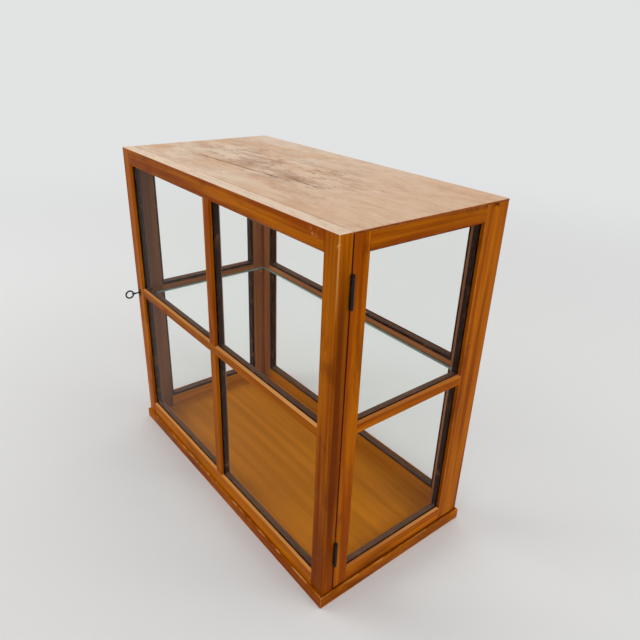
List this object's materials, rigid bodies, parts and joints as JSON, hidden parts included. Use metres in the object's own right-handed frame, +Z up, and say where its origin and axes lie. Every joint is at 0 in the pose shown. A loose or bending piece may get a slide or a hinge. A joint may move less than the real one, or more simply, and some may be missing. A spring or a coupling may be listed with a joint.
{
  "type": "tabletop display case",
  "caption": "Glazed wooden tabletop display case with a full-width hinged glass door, a glass shelf, a base board and a turning key in its lock.",
  "frame": {"origin": "centre of the base board's underside, on the surface that the case stands on", "axes": "+X to the right of someone facing the door, where the hinges are; +Y from the door to the back; +Z up"},
  "size_m": [0.6544, 0.3628, 0.62],
  "materials": {
    "varnished_wood": "worn orange-brown varnish",
    "base_wood": "worn varnish",
    "worn_top": "varnish worn through to pale bare wood",
    "dark_bead": "dark stain",
    "clear_glass": "clear",
    "black_iron": "blackened",
    "brass_pin": "dull"
  },
  "bodies": {
    "case": {"back_bottom_rail": "varnished_wood", "back_left_stile": "varnished_wood", "back_lower_bead": "dark_bead", "back_lower_pane": "clear_glass", "back_mid_rail": "varnished_wood", "back_right_stile": "varnished_wood", "back_top_rail": "varnished_wood", "back_upper_bead": "dark_bead", "back_upper_pane": "clear_glass", "base_board": "base_wood", "glass_shelf": "clear_glass", "left_front_shelf_pin": "brass_pin", "left_rear_shelf_pin": "brass_pin", "left_side_bottom_rail": "varnished_wood", "left_side_front_stile": "varnished_wood", "left_side_lower_bead": "dark_bead", "left_side_lower_pane": "clear_glass", "left_side_mid_rail": "varnished_wood", "left_side_rear_stile": "varnished_wood", "left_side_top_rail": "varnished_wood", "left_side_upper_bead": "dark_bead", "left_side_upper_pane": "clear_glass", "lower_hinge_case_leaf": "black_iron", "lower_hinge_pin": "black_iron", "right_front_shelf_pin": "brass_pin", "right_rear_shelf_pin": "brass_pin", "right_side_bottom_rail": "varnished_wood", "right_side_front_stile": "varnished_wood", "right_side_lower_bead": "dark_bead", "right_side_lower_pane": "clear_glass", "right_side_mid_rail": "varnished_wood", "right_side_rear_stile": "varnished_wood", "right_side_top_rail": "varnished_wood", "right_side_upper_bead": "dark_bead", "right_side_upper_pane": "clear_glass", "strike_plate": "black_iron", "top_board": "worn_top", "upper_hinge_case_leaf": "black_iron", "upper_hinge_pin": "black_iron"},
    "door": {"door_bottom_rail": "varnished_wood", "door_left_stile": "varnished_wood", "door_lower_left_bead": "dark_bead", "door_lower_left_pane": "clear_glass", "door_lower_mullion": "varnished_wood", "door_lower_right_bead": "dark_bead", "door_lower_right_pane": "clear_glass", "door_mid_rail": "varnished_wood", "door_right_stile": "varnished_wood", "door_top_rail": "varnished_wood", "door_upper_left_bead": "dark_bead", "door_upper_left_pane": "clear_glass", "door_upper_mullion": "varnished_wood", "door_upper_right_bead": "dark_bead", "door_upper_right_pane": "clear_glass", "keyhole_plate": "black_iron", "lock_case": "black_iron", "lower_hinge_door_leaf": "black_iron", "upper_hinge_door_leaf": "black_iron"},
    "key": {"key": "black_iron", "lock_plug": "black_iron"}
  },
  "joints": [
    {"name": "door_hinge", "type": "hinge", "parent": "case", "child": "door", "pos_m": [0.32515, -0.1406, 0.32], "axis": [0, 0, 1], "range_deg": [0, 180]},
    {"name": "key_turn", "type": "hinge", "parent": "door", "child": "key", "pos_m": [-0.311, -0.163, 0.322], "axis": [0, 1, 0], "range_deg": [0, 90]}
  ]
}
